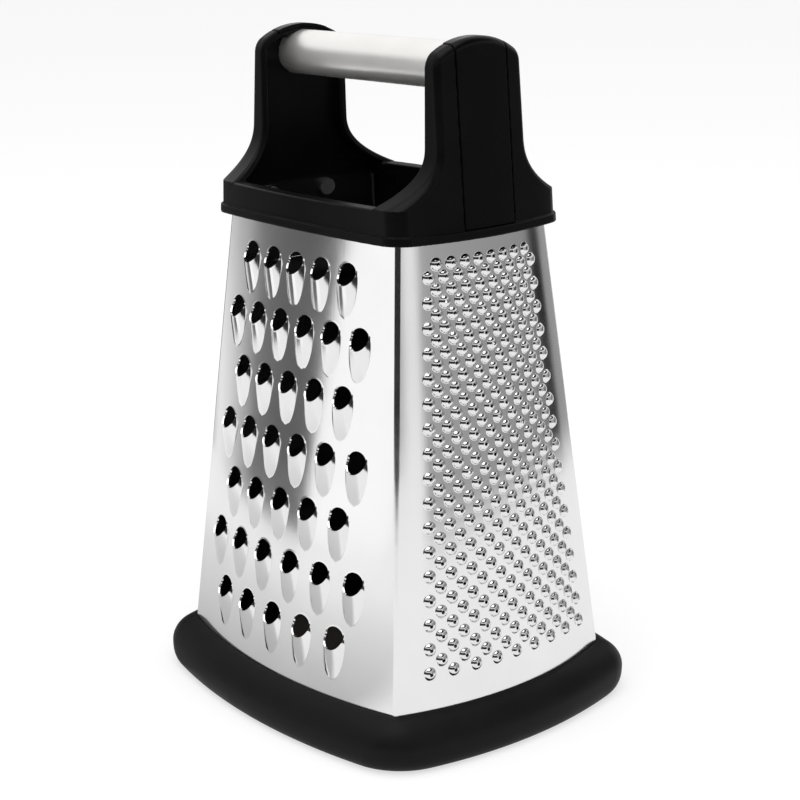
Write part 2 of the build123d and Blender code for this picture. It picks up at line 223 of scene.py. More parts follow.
def slot_feature(length, opening, rise, run, rings, count):
    """A long slicing slot: the sheet below it ramps out to a straight lip."""
    half = length / 2
    end, border, side = 1.5, 2.0, 2.5
    n = count // 4

    def row(start, stop, level):
        return [(x, level) for x in np.linspace(start, stop, n, endpoint=False)]

    def column(x, start, stop):
        return [(x, v) for v in np.linspace(start, stop, n, endpoint=False)]

    def cap(sign):
        turns = np.linspace(0, math.pi, n, endpoint=False)
        return [
            (sign * (half - end + end * math.sin(a)), opening / 2 * (1 - sign * math.cos(a)))
            for a in turns
        ]

    top, low = opening + end, -run - end
    inner = row(half - end, -half + end, opening) + cap(-1)
    inner = np.array(inner + row(-half + end, half - end, 0.0) + cap(1))
    outer = row(half + border, -half - border, top) + column(-half - side, top, low)
    outer += row(-half - border, half + border, low) + column(half + side, low, top)
    outer = np.array(outer)
    loops = loops_between(inner, outer, np.linspace(0, 1, rings))

    def height(u, v):
        ends = ease((half + 1.5 - np.abs(u)) / 4.5)
        return rise * ease(1 + v / run) * ends * (1 - ease(v / (0.9 * opening)))

    return *ring_mesh(loops), height


# Where the features sit, as in the part's source

def row_places(counts, top, pitch, pitches, shifts):
    places = []
    last = len(counts) - 1
    for row, count in enumerate(counts):
        share = row / last
        step = pitches[0] + (pitches[1] - pitches[0]) * share
        shift = shifts[0] + (shifts[1] - shifts[0]) * share
        for index in range(count):
            places.append(((index - (count - 1) / 2) * step + shift, top - row * pitch))
    return places


def arc_length(side, across, z):
    radius = arcs(side, np.asarray(float(z)))[0]
    return float(radius * np.arcsin(across / radius))


def steel_panel(name, side, places, feature):
    """A thin panel, its raised features and the plain sheet between them, as one closed mesh."""
    ring_points, ring_quads, ring_count, height = feature
    ring_outer = ring_points[-ring_count:]
    centres = np.array([(arc_length(side, a, z), z) for a, z in places])

    # Outline of the panel, then the features' outer loops, then loose inner points
    levels = np.linspace(STEEL_FOOT, STEEL_TOP, 63)
    right_edge = half_length(side, levels)
    bend_steps = 7
    outline = []
    for z, edge in zip(levels, right_edge):
        outline.append((edge, z))
    top_edge = right_edge[-1]
    for x in np.linspace(top_edge, -top_edge, 40)[1:-1]:
        outline.append((x, STEEL_TOP))
    for z, edge in zip(levels[::-1], right_edge[::-1]):
        outline.append((-edge, z))
    bottom_edge = right_edge[0]
    for x in np.linspace(-bottom_edge, bottom_edge, 50)[1:-1]:
        outline.append((x, STEEL_FOOT))
    points = list(outline)
    edges = [(i, (i + 1) % len(outline)) for i in range(len(outline))]

    # Columns of points through the bends keep them round
    starts = arcs(side, levels)
    bend_start = starts[0] * starts[4]
    for share in np.linspace(0, 1, bend_steps)[:-1]:
        column = bend_start + (right_edge - bend_start) * share
        for sign in (-1, 1):
            first = len(points)
            for z, s in zip(levels[1:-1], column[1:-1]):
                points.append((sign * s, z))
            edges += [(i, i + 1) for i in range(first, len(points) - 1)]

    loop_starts = []
    for centre in centres:
        first = len(points)
        loop_starts.append(first)
        for offset in ring_outer:
            points.append(tuple(centre + offset))
        edges += [(first + i, first + (i + 1) % ring_count) for i in range(ring_count)]

    # Plain sheet: a loose grid that stays clear of the features and the bends
    reach = np.abs(ring_outer).max(axis=0) + 0.9
    upper_reach = ring_outer[:, 1].max() + 0.9
    lower_reach = ring_outer[:, 1].min() - 0.9
    for z in levels[1:-1]:
        edge = float(half_length(side, z)) - 7
        count = max(3, int(2 * edge / 3.0))
        for s in np.linspace(-edge, edge, count):
            du = (s - centres[:, 0]) / reach[0]
            dv = z - centres[:, 1]
            dv = np.where(dv > 0, dv / upper_reach, dv / lower_reach)
            if np.min(du * du + dv * dv) > 1.0:
                points.append((s, z))

    result = delaunay_2d_cdt([Vector(p) for p in points], edges, [], 1, 1e-5)
    flat_points = np.array([(v.x, v.y) for v in result[0]])
    triangles = []
    centre_s, centre_z = centres[:, 0], centres[:, 1]
    polygon = ring_outer
    for face in result[2]:
        middle = flat_points[list(face)].mean(axis=0)
        near = np.abs(centre_s - middle[0]) < reach[0]
        near &= np.abs(centre_z - middle[1]) < max(upper_reach, -lower_reach)
        inside = False
        for index in np.nonzero(near)[0]:
            if inside_loop(middle - centres[index], polygon):
                inside = True
                break
        if not inside:
            triangles.append(tuple(face))

    # The cdt may drop or merge points, so its own numbering is matched back to the loops
    lookup = {}
    for new, olds in enumerate(result[3]):
        for old in olds:
            lookup[old] = new

    s = list(flat_points[:, 0])
    z = list(flat_points[:, 1])
    h = [0.0] * len(s)
    faces = list(triangles)
    groups = [-1] * len(s)
    inner_total = len(ring_points) - ring_count
    for index, centre in enumerate(centres):
        base = len(s)
        s += list(centre[0] + ring_points[:inner_total, 0])
        z += list(centre[1] + ring_points[:inner_total, 1])
        first = loop_starts[index]
        mapping = list(range(base, base + inner_total))
        mapping += [lookup[first + i] for i in range(ring_count)]
        groups += [index] * inner_total
        for quad in ring_quads:
            faces.append(tuple(mapping[i] for i in quad))
    s = np.array(s)
    z = np.array(z)
    groups = np.array(groups)

    def heights(s_values, z_values):
        total = np.zeros_like(s_values)
        for index, centre in enumerate(centres):
            near = groups == index
            total[near] = height(s_values[near] - centre[0], z_values[near] - centre[1])
        return total

    def position(s_values, z_values):
        return raised_point(side, s_values, z_values, heights(s_values, z_values))

    outer = position(s, z)
    step = 0.02
    across = position(s + step, z) - position(s - step, z)
    up = position(s, z + step) - position(s, z - step)
    normals = unit(np.cross(across, up))
    inner = outer - normals * SHEET
    return closed_sheet(name, outer, inner, normals, faces)


def inside_loop(point, loop):
    x, y = point
    x0, y0 = loop[:, 0], loop[:, 1]
    x1, y1 = np.roll(x0, -1), np.roll(y0, -1)
    crosses = (y0 > y) != (y1 > y)
    at = x0 + (y - y0) * (x1 - x0) / np.where(y1 == y0, 1e-12, y1 - y0)
    return bool(np.count_nonzero(crosses & (x < at)) % 2)


def closed_sheet(name, outer, inner, normals, faces):
    """Outer and inner skin with the rims between them, with exact corner normals."""
    count = len(outer)
    edge_use = {}
    oriented = []
    for face in faces:
        a, b, c = outer[face[0]], outer[face[1]], outer[face[2]]
        facing = np.dot(np.cross(b - a, c - a), normals[face[0]])
        face = tuple(face) if facing >= 0 else tuple(reversed(face))
        oriented.append(face)
        for i in range(len(face)):
            edge_use.setdefault((face[i], face[(i + 1) % len(face)]), 0)
            edge_use[(face[i], face[(i + 1) % len(face)])] += 1
    all_faces = list(oriented)
    loop_normals = [normals[i] for face in oriented for i in face]
    inside_first = len(all_faces)
    for face in oriented:
        back = tuple(i + count for i in reversed(face))
        all_faces.append(back)
        loop_normals += [-normals[i - count] for i in back]
    inside_last = len(all_faces)
    rims = [edge for edge in edge_use if (edge[1], edge[0]) not in edge_use]
    sideways = {}
    for a, b in rims:
        along = outer[b] - outer[a]
        out = np.cross(along, normals[a])
        for i in (a, b):
            sideways[i] = sideways.get(i, 0) + out
    for a, b in rims:
        all_faces.append((b, a, a + count, b + count))
        na, nb = unit(sideways[a]), unit(sideways[b])
        loop_normals += [nb, na, na, nb]
    vertices = np.concatenate([outer, inner])
    sheet = mesh_object(name, vertices, all_faces, loop_normals)
    slots = np.zeros(len(all_faces), np.int32)
    slots[inside_first:inside_last] = 1
    sheet.data.polygons.foreach_set("material_index", slots)
    return sheet


# Moulded pieces: a field that is negative inside, meshed by surface nets

def blend_in(a, b, radius):
    """Intersection of two fields with a rounded edge."""
    u = np.maximum(radius + a, 0)
    v = np.maximum(radius + b, 0)
    return np.minimum(np.maximum(a, b), -radius) + np.sqrt(u * u + v * v)


def blend_out(a, b, radius):
    """Union of two fields with a filleted corner."""
    return -blend_in(-a, -b, radius)


def surface_nets(values, low, cell):
    """Quads around every grid edge where the field changes sign."""
    inside = values < 0
    shape = values.shape
    cells = tuple(n - 1 for n in shape)
    total = np.zeros(cells + (3,), np.float32)
    hits = np.zeros(cells, np.float32)
    corners = [(i, j, k) for i in (0, 1) for j in (0, 1) for k in (0, 1)]

    def block(array, corner):
        i, j, k = corner
        return array[i : i + cells[0], j : j + cells[1], k : k + cells[2]]

    for first in corners:
        for axis in range(3):
            if first[axis] == 1:
                continue
            second = tuple(v + (1 if n == axis else 0) for n, v in enumerate(first))
            a, b = block(values, first), block(values, second)
            crossing = (a < 0) != (b < 0)
            share = np.where(crossing, a / np.where(crossing, a - b, 1), 0)
            for n in range(3):
                value = first[n] + (share if n == axis else 0)
                total[..., n] += np.where(crossing, value, 0)
            hits += crossing
    active = hits > 0
    index = np.full(cells, -1, np.int64)
    index[active] = np.arange(np.count_nonzero(active))
    where = np.argwhere(active)
    points = (where + total[active] / hits[active][:, None]) * cell + np.asarray(low)

    quads = []
    for axis in range(3):
        a = [slice(1, -1)] * 3
        b = [slice(1, -1)] * 3
        a[axis] = slice(0, -1)
        b[axis] = slice(1, None)
        first, second = inside[tuple(a)], inside[tuple(b)]
        place = np.argwhere(first != second)
        rising = first[first != second]
        place = place + 1
        place[:, axis] -= 1
        others = [n for n in range(3) if n != axis]
        ring = []
        for du, dv in ((0, 0), (1, 0), (1, 1), (0, 1)):
            at = place.copy()
            at[:, others[0]] -= 1 - du
            at[:, others[1]] -= 1 - dv
            ring.append(index[at[:, 0], at[:, 1], at[:, 2]])
        ring = np.stack(ring, 1)
        flip = rising if axis != 1 else ~rising
        ring[~flip] = ring[~flip][:, ::-1]
        quads.append(ring)
    return points, np.concatenate(quads)


def field_gradient(field, points, step):
    x, y, z = points.T
    return np.stack(
        [
            field(x + step, y, z) - field(x - step, y, z),
            field(x, y + step, z) - field(x, y - step, z),
            field(x, y, z + step) - field(x, y, z - step),
        ],
        1,
    ) / (2 * step)


def moulded(name, field, low, high, cell, steps=2):
    """A closed mesh of a field's zero surface; the box is a little larger than the piece."""
    axes = [np.arange(a, b + cell, cell) for a, b in zip(low, high)]
    values = np.empty(tuple(len(axis) for axis in axes), np.float32)
    y, z = np.meshgrid(axes[1], axes[2], indexing="ij")
    for i, x in enumerate(axes[0]):
        values[i] = field(np.full_like(y, x), y, z)
    points, quads = surface_nets(values, low, cell)
    for _ in range(steps):
        slope = field_gradient(field, points, 0.05)
        size = np.maximum((slope**2).sum(1), 0.05)
        move = (field(*points.T) / size)[:, None] * slope
        points = points - np.clip(move, -cell / 2, cell / 2)
    normals = unit(field_gradient(field, points, 0.06))
    loops = normals[quads.ravel()]
    return mesh_object(name, points, quads, loops)


# The handle frame and its covers as fields

RIM_BOTTOM, RIM_TOP, LEDGE, TOP = 184.9, 188.1, 197.0, 254.0
RIM_STEP, RIM_ROUND = 1.1, 0.45
COLLAR_HALF_X, COLLAR_BOW_X, COLLAR_HALF_Y, COLLAR_BOW_Y, COLLAR_CORNER = 53.1, 6.48, 38.8, 2.87, 5.4
TOP_HALF_X, TOP_BOW_X = 48.6, 6.0
LEDGE_WIDTH, WALL = 6.0, 3.0
UPRIGHT_HALF_Y, UPRIGHT_TAPER, UPRIGHT_CORNER = 20.4, 0.3, 2.6
SWEEP_TOP, SWEEP_POWER, DOME_FOOT = 218.0, 2.5, 246.3
CROWN_CENTRE, CROWN_RADIUS, CROWN_FLATTER, CROWN_FROM, CROWN_EDGE = 222.1, 31.9, 0.97, 232, 3.0
GAP_HALF_X, GAP_FLARE, GAP_WAIST, GAP_POWER = 47.3, 6.3, 215.0, 2.2
TONGUE_FOOT, TONGUE_HALF = 186.6, 34.0
STEEL_PLAY, STEEL_HEADROOM = 0.1, 0.5
COVER, COVER_HALF, COVER_GROOVE = 1.4, 11.6, 0.45
TUBE_LEVEL, TUBE_RADIUS, TUBE_WALL, TUBE_END, TUBE_PLAY = 243.07, 8.54, 0.8, 52.6, 0.05


def outline_field(x, y, half_x, half_y, bow_x, bow_y, corner, chord_y):
    """Distance to a bowed rectangle with rounded corners, for x and y above zero."""
    radius = (half_x**2 + bow_y**2) / (2 * bow_y)
    next_radius = (chord_y**2 + bow_x**2) / (2 * bow_x)
    a = np.hypot(x, y - (half_y + bow_y - radius)) - radius
    b = np.hypot(x - (half_x + bow_x - next_radius), y) - next_radius
    return blend_in(a, b, corner)


def handle_sizes(z):
    share = (z - RIM_TOP) / (TOP - RIM_TOP)
    half_x = COLLAR_HALF_X + (TOP_HALF_X - COLLAR_HALF_X) * share
    return half_x, COLLAR_BOW_X + (TOP_BOW_X - COLLAR_BOW_X) * share


def collar_field(x, y, z, grow=0.0):
    half_x, bow_x = handle_sizes(z)
    sizes = half_x, COLLAR_HALF_Y, bow_x, COLLAR_BOW_Y, COLLAR_CORNER
    return outline_field(x, y, *sizes, COLLAR_HALF_Y) - grow


def upright_field(x, y, z):
    """Both uprights' outer skin as one block, domed on top."""
    half_x, bow_x = handle_sizes(z)
    flare = COLLAR_HALF_Y - UPRIGHT_HALF_Y
    rise = np.clip((z - LEDGE) / (SWEEP_TOP - LEDGE), 0, 1)
    rest = (1 - rise) ** SWEEP_POWER
    lean = np.clip((z - SWEEP_TOP) / (DOME_FOOT - SWEEP_TOP), 0, 1.2)
    half_y = UPRIGHT_HALF_Y - UPRIGHT_TAPER * lean + flare * rest
    corner = UPRIGHT_CORNER + (COLLAR_CORNER - UPRIGHT_CORNER) * rest
    bow_y = COLLAR_BOW_Y * half_y / COLLAR_HALF_Y
    side = outline_field(x, y, half_x, half_y, bow_x, bow_y, corner, COLLAR_HALF_Y)
    slope = flare * SWEEP_POWER * (1 - rise) ** (SWEEP_POWER - 1) / (SWEEP_TOP - LEDGE)
    facing = np.clip((y - 0.5 * half_y) / (0.5 * half_y), 0, 1)
    side = side / np.sqrt(1 + (slope * facing) ** 2)
    crown = np.hypot(y * CROWN_FLATTER, z - CROWN_CENTRE) - CROWN_RADIUS
    crown = np.where(z > CROWN_FROM, crown, -20.0)
    return blend_in(side, crown, CROWN_EDGE)


def gap_edge(z):
    fall = np.clip((GAP_WAIST - z) / (GAP_WAIST - LEDGE), 0, 1)
    return GAP_HALF_X - GAP_FLARE * fall**GAP_POWER


def skin_field(x, y, z):
    """Outer face of the collar and the uprights, as the covers follow it."""
    return np.where(z > LEDGE, upright_field(x, y, z), collar_field(x, y, z))


def body_field(x, y, z, grow):
    half_x, half_y, bow_x, bow_y = body_size(z)
    return outline_field(x, y, half_x, half_y, bow_x, bow_y, BEND, half_y) - grow


def frame_field(x, y, z):
    x, y = np.abs(x), np.abs(y)
    upright = upright_field(x, y, z)
    upright = blend_in(upright, LEDGE - WALL - z, 0.3)
    upright = blend_in(upright, (gap_edge(z) - x) * 0.9, 1.0)
    hollow = blend_in(upright_field(x, y, z) + WALL, LEDGE - z, 0.5)
    upright = blend_in(upright, -hollow, 0.9)
    collar = blend_in(collar_field(x, y, z), z - LEDGE, 0.9)
    collar = blend_in(collar, RIM_BOTTOM - z, 0.3)
    throat = collar_field(x, y, z, -LEDGE_WIDTH)
    collar = blend_in(collar, -throat, 0.9)
    solid = np.minimum(collar, upright)
    hollow_floor = np.maximum(hollow, LEDGE + 0.01 - z)
    solid = np.maximum(solid, -hollow_floor)
    well = np.maximum(collar_field(x, y, z, -WALL), y - COLLAR_HALF_Y + LEDGE_WIDTH)
    well = np.maximum(well, np.abs(z - (STEEL_TOP + LEDGE + 1) / 2) - (LEDGE + 1 - STEEL_TOP) / 2)
    solid = np.maximum(solid, -well)
    rim_band = np.abs(z - (RIM_BOTTOM + RIM_TOP) / 2) - (RIM_TOP - RIM_BOTTOM) / 2
    rim = blend_in(collar_field(x, y, z, RIM_STEP), rim_band, RIM_ROUND)
    rim = np.maximum(rim, -throat)
    solid = blend_out(solid, rim, 0.25)
    steel = blend_in(body_field(x, y, z, STEEL_PLAY), z - STEEL_TOP, 0.2)
    lining = body_field(x, y, z, -SHEET - STEEL_PLAY)
    inner = blend_in(lining, z - STEEL_TOP - STEEL_HEADROOM, 0.1)
    tongue = np.maximum(np.maximum(inner, -throat), x - TONGUE_HALF)
    tongue = blend_in(tongue, TONGUE_FOOT - z, 0.3)
    solid = np.maximum(solid, -steel)
    solid = np.minimum(solid, tongue)
    skin = skin_field(x, y, z)
    recess = np.maximum(np.maximum(-(skin + COVER), y - COVER_HALF - COVER_GROOVE), RIM_TOP - z)
    solid = blend_in(solid, -recess, 0.15)
    around = np.hypot(y, z - TUBE_LEVEL)
    bore = np.maximum(around - TUBE_RADIUS - TUBE_PLAY, x - TUBE_END - TUBE_PLAY)
    return np.maximum(solid, -bore)


def cover_field(x, y, z):
    """One cover strip, for the side where x is above zero."""
    y = np.abs(y)
    skin = skin_field(x, y, z)
    shell = blend_in(skin, -(skin + COVER), 0.35)
    edge = np.maximum(np.maximum(y - COVER_HALF, RIM_TOP - z), gap_edge(z) - x)
    return blend_in(shell, edge, 0.4)


# Swept pieces

def sweep_points(distance, z, bend, counts=(40, 12)):
    """One loop round the body at a level, standing out from the steel by a distance."""
    points = []
    for side in range(4):
        level = np.asarray(float(z))
        radius, _, _, _, start, middle = (float(v) for v in arcs(side, level, distance, bend))
        turns = np.concatenate(
            [
                np.linspace(-middle, -start, counts[1], endpoint=False),
                np.linspace(-start, start, counts[0], endpoint=False),
                np.linspace(start, middle, counts[1], endpoint=False),
            ]
        )
        beyond = np.maximum(np.abs(turns) - start, 0)
        s = np.sign(turns) * (np.minimum(np.abs(turns), start) * radius + beyond * bend)
        points.append(sheet_point(side, s, np.full_like(s, z), distance, bend))
    return np.concatenate(points)


def swept(name, profile, sharp_angle=40):
    """A closed profile of (distance from the steel, level, corner radius) swept round the body."""
    loops = [sweep_points(distance, z, bend) for distance, z, bend in profile]
    count = len(loops[0])
    faces = []
    for ring in range(len(loops)):
        following = (ring + 1) % len(loops)
        for i in range(count):
            j = (i + 1) % count
            here, there = ring * count, following * count
            faces.append((here + i, there + i, there + j, here + j))
    obj = mesh_object(name, np.concatenate(loops), faces)
    obj.data.set_sharp_from_angle(angle=math.radians(sharp_angle))
    return obj


RING_HEIGHT, RING_BELLY, RING_FOOT_CORNER, RING_TOP_CORNER, RING_MIDDLE = 18.7, 8.3, 20.0, 4.0, 9.35
RING_FOOT_REACH = 9.7
RING_INNER, RING_INNER_CORNER = -2.6, 4.0
FLANGE_REACH, FLANGE_CORNER, FLANGE_FOOT, FLANGE_TOP = 2.3, 4.6, 3.9, 6.1


def base_ring():
    """The soft ring: a bulging outer outline and the groove for the hoop's flange."""
    profile = []
    for turn in np.linspace(0.0, math.pi, 36):
        up = math.cos(turn)
        power = 1.8 if up > 0 else 2.8
        reach = abs(up) * (1.0 if up > 0 else RING_MIDDLE / RING_FOOT_REACH)
        out = max(RING_BELLY * (1 - reach**power) ** (1 / power), 0.15)
        level = RING_MIDDLE + RING_MIDDLE * up
        corner = RING_FOOT_CORNER + (RING_TOP_CORNER - RING_FOOT_CORNER) * level / RING_HEIGHT
        profile.append((out, level, corner + out))
    profile += [
        (1.5, 0.0, 15.0),
        (RING_INNER, 0.0, RING_INNER_CORNER),
        (RING_INNER, FLANGE_FOOT, RING_INNER_CORNER),
        (FLANGE_REACH, FLANGE_FOOT, FLANGE_CORNER),
        (FLANGE_REACH, FLANGE_TOP, FLANGE_CORNER),
        (0.05, FLANGE_TOP, BEND),
    ]
    return swept("base_ring_body", profile)


def lathe_x(name, profile, segments, level):
    """A profile of (x, radius) turned about the handle tube's axis."""
    vertices = []
    for x, radius in profile:
        for turn in np.linspace(0, 2 * np.pi, segments, endpoint=False):
            vertices.append((x, radius * math.cos(turn), level + radius * math.sin(turn)))
    faces = []
    for ring in range(len(profile)):
        following = (ring + 1) % len(profile)
        for i in range(segments):
            j = (i + 1) % segments
            here, there = ring * segments, following * segments
            faces.append((here + i, here + j, there + j, there + i))
    obj = mesh_object(name, vertices, faces)
    obj.data.set_sharp_from_angle(angle=math.radians(35))
    return obj


# Camera, fitted to the photograph

# Azimuth, elevation and roll in degrees, then lengths in metres and picture points
CAMERA_TURNS = (50.843, 14.688, -1.085)
CAMERA_DISTANCE, CAMERA_TARGET_LEVEL = 0.696153, 0.127
PICTURE_WIDTH, FOCAL_PIXELS = 800, 1814.68
PICTURE_MIDDLE = (387.257, 364.209)
SENSOR_WIDTH = 36


def make_camera():
    azimuth, elevation, roll = (math.radians(v) for v in CAMERA_TURNS)
    back = Vector((
        math.sin(azimuth) * math.cos(elevation),
        -math.cos(azimuth) * math.cos(elevation),
        math.sin(elevation),
    ))
    right = Vector((math.cos(azimuth), math.sin(azimuth), 0))
    up = back.cross(right)
    right, up = (
        right * math.cos(roll) + up * math.sin(roll),
        up * math.cos(roll) - right * math.sin(roll),
    )
    data = bpy.data.cameras.new("camera")
    camera = bpy.data.objects.new("camera", data)
    scene.collection.objects.link(camera)
    place = Vector((0, 0, CAMERA_TARGET_LEVEL)) + back * CAMERA_DISTANCE
    rotation = Matrix((right, up, back)).transposed().to_4x4()
    camera.matrix_world = Matrix.Translation(place) @ rotation
    data.sensor_width = SENSOR_WIDTH
    data.lens = FOCAL_PIXELS * SENSOR_WIDTH / PICTURE_WIDTH
    data.shift_x = (PICTURE_WIDTH / 2 - PICTURE_MIDDLE[0]) / PICTURE_WIDTH
    data.shift_y = (PICTURE_MIDDLE[1] - PICTURE_WIDTH / 2) / PICTURE_WIDTH
    data.clip_start = 0.01
    data.clip_end = 50
    scene.camera = camera


make_camera()


# Studio

def node_tree(material):
    material.use_nodes = True
    tree = material.node_tree
    tree.nodes.clear()
    return tree


def add(tree, kind, **values):
    node = tree.nodes.new(kind)
    for key, value in values.items():
        if key in node.inputs:
            node.inputs[key].default_value = value
        else:
            setattr(node, key, value)
    return node


def seen_share(tree):
    """1 for rays from the camera, off gloss or through glass, 0 for the light itself."""
    path = add(tree, "ShaderNodeLightPath")
    first = add(tree, "ShaderNodeMath", operation="MAXIMUM")
    second = add(tree, "ShaderNodeMath", operation="MAXIMUM")
    tree.links.new(path.outputs["Is Camera Ray"], first.inputs[0])
    tree.links.new(path.outputs["Is Glossy Ray"], first.inputs[1])
    tree.links.new(first.outputs[0], second.inputs[0])
    tree.links.new(path.outputs["Is Transmission Ray"], second.inputs[1])
    return second.outputs[0]


def make_world():
    """White to see, in gloss too, and a little less as light on dull surfaces."""
    world = bpy.data.worlds.new("studio")
    scene.world = world
    world.use_nodes = True
    tree = world.node_tree
    tree.nodes.clear()
    output = add(tree, "ShaderNodeOutputWorld")
    plain = add(tree, "ShaderNodeBackground", Color=(1, 1, 1, 1), Strength=0.75)
    white = add(tree, "ShaderNodeBackground", Color=(1, 1, 1, 1), Strength=1.0)
    mix = add(tree, "ShaderNodeMixShader")
    tree.links.new(seen_share(tree), mix.inputs[0])
    tree.links.new(plain.outputs[0], mix.inputs[1])
    tree.links.new(white.outputs[0], mix.inputs[2])
    tree.links.new(mix.outputs[0], output.inputs[0])


make_world()


def plane_object(name, half_x, half_y, centre=(0, 0, 0)):
    mesh = bpy.data.meshes.new(name)
    x, y, z = centre
    mesh.from_pydata(
        [
            (x - half_x, y - half_y, z),
            (x + half_x, y - half_y, z),
            (x + half_x, y + half_y, z),
            (x - half_x, y + half_y, z),
        ],
        [],
        [(0, 1, 2, 3)],
    )
    obj = bpy.data.objects.new(name, mesh)
    scene.collection.objects.link(obj)
    return obj


def outside_share(tree, half_x, half_y):
    """1 outside an oval round the middle of the floor, and 0 inside it."""
    place = add(tree, "ShaderNodeTexCoord")
    mapping = add(tree, "ShaderNodeMapping")
    mapping.inputs["Scale"].default_value = (1 / half_x, 1 / half_y, 0)
    size = add(tree, "ShaderNodeVectorMath", operation="LENGTH")
    outside = add(tree, "ShaderNodeMath", operation="GREATER_THAN")
    outside.inputs[1].default_value = 1.0
    tree.links.new(place.outputs["Object"], mapping.inputs["Vector"])
    tree.links.new(mapping.outputs[0], size.inputs[0])
    tree.links.new(size.outputs["Value"], outside.inputs[0])
    return outside.outputs[0]


def make_floor():
    """White paper that keeps the soft shadow; its white doesn't light the object. Inside an oval under
    the grater, the paper seen by the camera and in gloss is painted dark as shadow.
    """
    floor = plane_object("floor", 6.0, 6.0)
    material = bpy.data.materials.new("floor_paper")
    tree = node_tree(material)
    output = add(tree, "ShaderNodeOutputMaterial")
    paper = add(tree, "ShaderNodeBsdfDiffuse", Color=(0.9, 0.9, 0.9, 1), Roughness=0.5)
    pale = add(tree, "ShaderNodeBsdfDiffuse", Color=(0.42, 0.42, 0.42, 1), Roughness=0.5)
    white = add(tree, "ShaderNodeEmission", Color=(1, 1, 1, 1), Strength=0.62)
    # Painted shadow: a dark paper shown inside the oval under the grater, where the floor would lie in
    # shade.
    floor_painted_shadow = add(tree, "ShaderNodeBsdfDiffuse", Color=(0.07, 0.06, 0.055, 1), Roughness=0.5)
    under = add(tree, "ShaderNodeMixShader")
    both = add(tree, "ShaderNodeAddShader")
    mix = add(tree, "ShaderNodeMixShader")
    tree.links.new(pale.outputs[0], both.inputs[0])
    tree.links.new(white.outputs[0], both.inputs[1])
    tree.links.new(seen_share(tree), mix.inputs[0])
    tree.links.new(paper.outputs[0], mix.inputs[1])
    tree.links.new(outside_share(tree, 0.078, 0.067), under.inputs[0])
    tree.links.new(floor_painted_shadow.outputs[0], under.inputs[1])
    tree.links.new(both.outputs[0], under.inputs[2])
    tree.links.new(under.outputs[0], mix.inputs[2])
    tree.links.new(mix.outputs[0], output.inputs[0])
    floor.data.materials.append(material)


make_floor()


def card_material():
    """A studio card: each corner has its own brightness and cover."""
    material = bpy.data.materials.new("card")
    tree = node_tree(material)
    output = add(tree, "ShaderNodeOutputMaterial")
    tone = add(tree, "ShaderNodeAttribute", attribute_name="tone")
    cover = add(tree, "ShaderNodeAttribute", attribute_name="cover")
    clear = add(tree, "ShaderNodeBsdfTransparent")
    face = add(tree, "ShaderNodeEmission")
    mix = add(tree, "ShaderNodeMixShader")
    tree.links.new(tone.outputs["Fac"], face.inputs["Strength"])
    tree.links.new(cover.outputs["Fac"], mix.inputs[0])
    tree.links.new(clear.outputs[0], mix.inputs[1])
    tree.links.new(face.outputs[0], mix.inputs[2])
    tree.links.new(mix.outputs[0], output.inputs[0])
    return material


CARD = card_material()
CARD_LIFT = 0.0015


def card(name, radius, turns, levels):
    """A bent card round the object, seen in gloss only.

    turns lists (degrees, tone, cover) and levels lists (metres, cover).
    """
    vertices, tones, covers = [], [], []
    degrees = [turn[0] for turn in turns]
    heights = [level[0] for level in levels]
    across = np.unique(np.concatenate([degrees, np.arange(degrees[0], degrees[-1], 3.0)]))
    for height in heights:
        for angle in across:
            turn = math.radians(angle)
            vertices.append((radius * math.cos(turn), radius * math.sin(turn), height))
            tones.append(np.interp(angle, degrees, [t[1] for t in turns]))
            share = np.interp(angle, degrees, [t[2] for t in turns])
            covers.append(share * np.interp(height, heights, [v[1] for v in levels]))
    card_mesh(name, vertices, tones, covers, len(across))


def floor_card(name, turns, rings):
    """A flat card on the floor, seen in gloss only, that paints shade on the floor near the object.

    turns lists (degrees, cover) and rings lists (radius in metres, tone, cover).
    """
    vertices, tones, covers = [], [], []
    degrees = [turn[0] for turn in turns]
    across = np.arange(degrees[0], degrees[-1] + 1.0, 3.0)
    for radius, tone, ring_cover in rings:
        for angle in across:
            turn = math.radians(angle)
            vertices.append((radius * math.cos(turn), radius * math.sin(turn), CARD_LIFT))
            tones.append(tone)
            covers.append(ring_cover * np.interp(angle, degrees, [t[1] for t in turns]))
    card_mesh(name, vertices, tones, covers, len(across))


def card_mesh(name, vertices, tones, covers, count):
    """The card's mesh from rows of points, count in each row."""
    faces = []
    for row in range(len(vertices) // count - 1):
        for i in range(count - 1):
            a = row * count + i
            faces.append((a, a + 1, a + 1 + count, a + count))
    mesh = bpy.data.meshes.new(name)
    mesh.from_pydata(vertices, [], faces)
    for key, values in (("tone", tones), ("cover", covers)):
        data = mesh.attributes.new(key, "FLOAT", "POINT")
        data.data.foreach_set("value", values)
    obj = bpy.data.objects.new(name, mesh)
    scene.collection.objects.link(obj)
    mesh.materials.append(CARD)
    obj.visible_camera = False
    obj.visible_diffuse = False
    obj.visible_shadow = False


